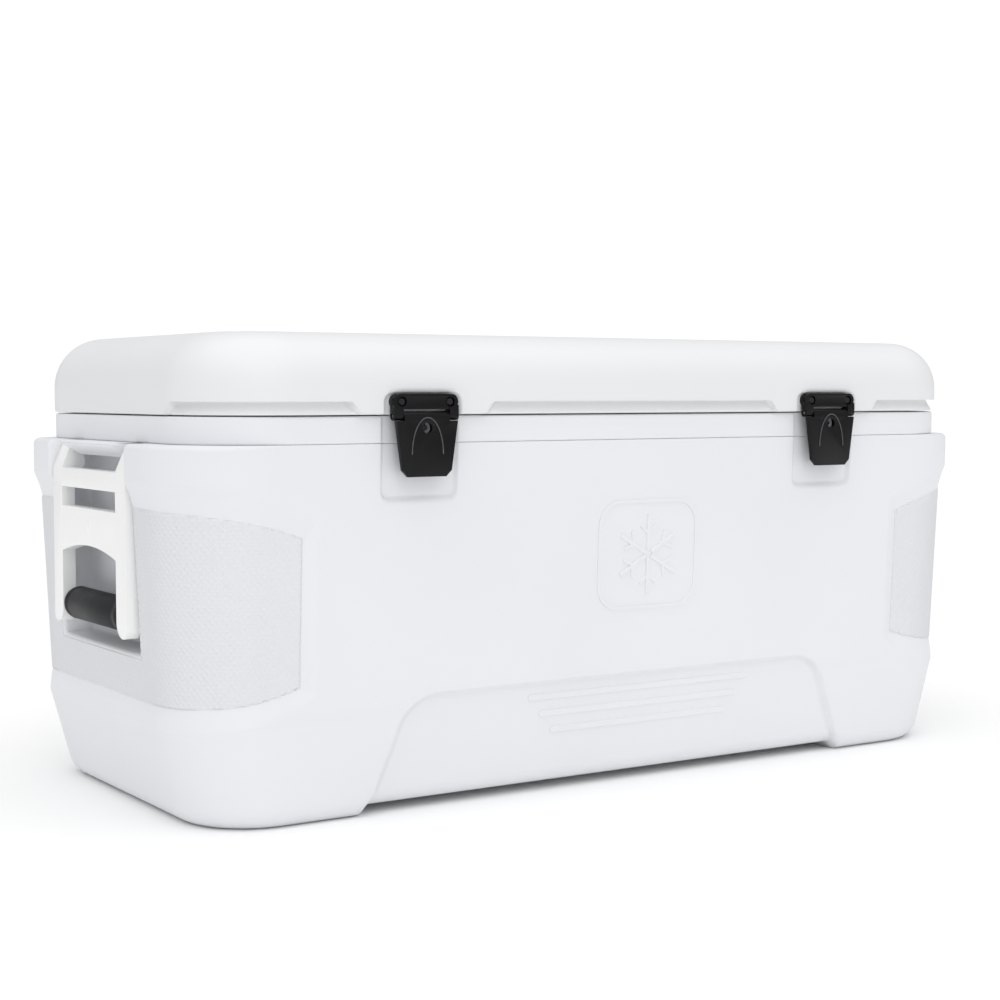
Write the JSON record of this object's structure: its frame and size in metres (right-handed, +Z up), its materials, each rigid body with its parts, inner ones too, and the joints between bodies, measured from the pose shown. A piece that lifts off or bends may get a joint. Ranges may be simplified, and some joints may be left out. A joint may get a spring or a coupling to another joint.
{
  "type": "cooler chest",
  "caption": "Large insulated cooler chest with a rear-hinged lid, front latches, swing-up end handles and a screw-cap drain.",
  "frame": {"origin": "centre of the footprint on the floor", "axes": "+X along the length towards the drain end, -Y the front with the latches, +Z up"},
  "size_m": [0.976, 0.464, 0.45],
  "materials": {
    "shell_white": "satin",
    "lid_white": "satin",
    "liner_white": "satin",
    "foam": "matte",
    "latch_black": "satin",
    "hinge_black": "satin",
    "grip_rubber": "matte",
    "stainless": "satin",
    "screw_black": "satin",
    "handle_white": "satin",
    "drain_white": "satin",
    "seal_rubber": "matte"
  },
  "bodies": {
    "tub": {"tub_shell": "shell_white", "tub_liner": "liner_white", "tub_foam": "foam", "latch_keeper_left": "screw_black", "latch_keeper_right": "screw_black", "hinge_lower_left": "hinge_black", "hinge_lower_centre": "hinge_black", "hinge_lower_right": "hinge_black", "hinge_pin_left": "stainless", "hinge_pin_centre": "stainless", "hinge_pin_right": "stainless", "hinge_screws_lower": "stainless", "handle_pins_left": "stainless", "handle_pins_right": "stainless", "drain_spout": "drain_white", "drain_gasket": "seal_rubber", "drain_nut": "drain_white"},
    "lid": {"lid_shell": "lid_white", "lid_liner": "liner_white", "lid_foam": "foam", "latch_base_left": "latch_black", "latch_base_right": "latch_black", "latch_pin_left": "stainless", "latch_pin_right": "stainless", "latch_screws": "screw_black", "hinge_upper_left": "hinge_black", "hinge_upper_centre": "hinge_black", "hinge_upper_right": "hinge_black", "hinge_screws_upper": "stainless"},
    "latch_lever_left": {"latch_lever_left": "latch_black"},
    "latch_lever_right": {"latch_lever_right": "latch_black"},
    "handle_left": {"handle_frame_left": "handle_white", "handle_grip_left": "grip_rubber"},
    "handle_right": {"handle_frame_right": "handle_white", "handle_grip_right": "grip_rubber"},
    "drain_seal": {"drain_seal": "seal_rubber"},
    "drain_cap": {"drain_cap": "drain_white"}
  },
  "joints": [
    {"name": "lid_hinge", "type": "hinge", "parent": "tub", "child": "lid", "pos_m": [0, 0.2284, 0.3716], "axis": [-1, 0, 0], "range_deg": [0, 100]},
    {"name": "latch_left", "type": "hinge", "parent": "lid", "child": "latch_lever_left", "pos_m": [-0.248, -0.2268, 0.371], "axis": [-1, 0, 0], "range_deg": [0, 90]},
    {"name": "latch_right", "type": "hinge", "parent": "lid", "child": "latch_lever_right", "pos_m": [0.248, -0.2268, 0.371], "axis": [-1, 0, 0], "range_deg": [0, 90]},
    {"name": "handle_left_swing", "type": "hinge", "parent": "tub", "child": "handle_left", "pos_m": [-0.47, 0, 0.325], "axis": [0, 1, 0], "range_deg": [0, 75]},
    {"name": "handle_right_swing", "type": "hinge", "parent": "tub", "child": "handle_right", "pos_m": [0.47, 0, 0.325], "axis": [0, -1, 0], "range_deg": [0, 75]},
    {"name": "drain_cap_travel", "type": "slide", "parent": "tub", "child": "drain_seal", "axis": [1, 0, 0], "range_m": [0, 0.008]},
    {"name": "drain_cap_turn", "type": "hinge", "parent": "drain_seal", "child": "drain_cap", "pos_m": [0.458, 0.06, 0.05], "axis": [1, 0, 0], "range_deg": [0, 720]}
  ],
  "couplings": [
    {"joint": "drain_cap_travel", "follows": "drain_cap_turn", "m_per_rad": 0.00063662}
  ]
}
